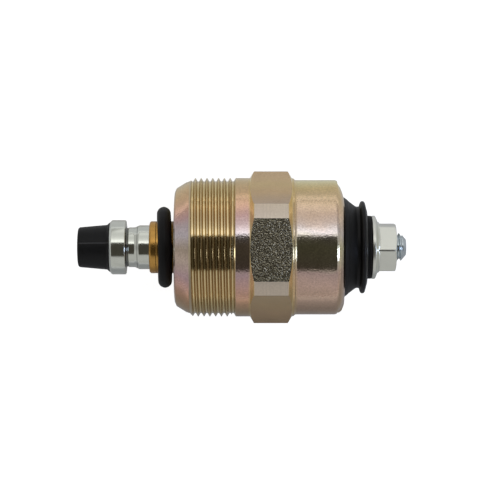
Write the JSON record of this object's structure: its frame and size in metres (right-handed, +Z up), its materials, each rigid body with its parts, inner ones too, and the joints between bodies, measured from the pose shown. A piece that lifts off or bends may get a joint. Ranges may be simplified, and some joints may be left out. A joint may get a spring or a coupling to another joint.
{
  "type": "fuel shutoff solenoid",
  "caption": "Fuel shutoff solenoid: a threaded steel can with a spanner hexagon, a spring-loaded plunger with a rubber valve tip in a brass sleeve, and a booted screw terminal.",
  "frame": {"origin": "on the surface that the lower flat of the hexagon lies on, under the middle of the overall length", "axes": "+X along the solenoid's axis from the valve tip to the terminal, +Z up through the middle of the upper flat, +Y level"},
  "size_m": [0.0566, 0.0262, 0.024],
  "materials": {
    "yellow_zinc_steel": "steel, turned and rolled, with yellow passivated zinc",
    "sleeve_brass": "drawn brass, smooth",
    "plunger_zinc": "turned steel with clear zinc",
    "tip_rubber": "moulded rubber, satin",
    "ring_rubber": "moulded rubber, matte",
    "spring_steel": "drawn spring wire",
    "core_steel": "turned soft iron",
    "shim_brass": "rolled brass sheet",
    "bobbin_nylon": "moulded nylon",
    "enamelled_copper": "enamelled copper wire",
    "wrap_tape": "insulating film tape",
    "plate_steel": "stamped steel",
    "insulator_resin": "moulded phenolic resin",
    "boot_rubber": "moulded rubber, satin",
    "washer_fibre": "vulcanised fibre",
    "stud_zinc": "rolled steel with blue zinc",
    "nut_zinc": "steel with clear zinc",
    "live_lead_sleeving": "sleeved wire",
    "ground_lead_sleeving": "sleeved wire"
  },
  "bodies": {
    "solenoid_body": {"housing": "yellow_zinc_steel", "guide_sleeve": "sleeve_brass", "nose_o_ring": "ring_rubber", "return_spring": "spring_steel", "fixed_core": "core_steel", "core_shim": "shim_brass", "core_o_ring": "ring_rubber", "coil_bobbin": "bobbin_nylon", "coil_winding": "enamelled_copper", "coil_wrap": "wrap_tape", "coil_cushion": "ring_rubber", "rear_plate": "plate_steel", "rear_seal_ring": "ring_rubber", "terminal_insulator": "insulator_resin", "terminal_boot": "boot_rubber", "terminal_washer": "washer_fibre", "terminal_stud": "stud_zinc", "terminal_nut": "nut_zinc", "live_lead": "live_lead_sleeving", "ground_lead": "ground_lead_sleeving"},
    "plunger_body": {"plunger": "plunger_zinc", "plunger_tip": "tip_rubber"}
  },
  "joints": [
    {"name": "plunger_slide", "type": "slide", "parent": "solenoid_body", "child": "plunger_body", "axis": [1, 0, 0], "range_m": [0, 0.0025], "stiffness_N_per_m": 1000, "deforming": ["return_spring"]}
  ]
}
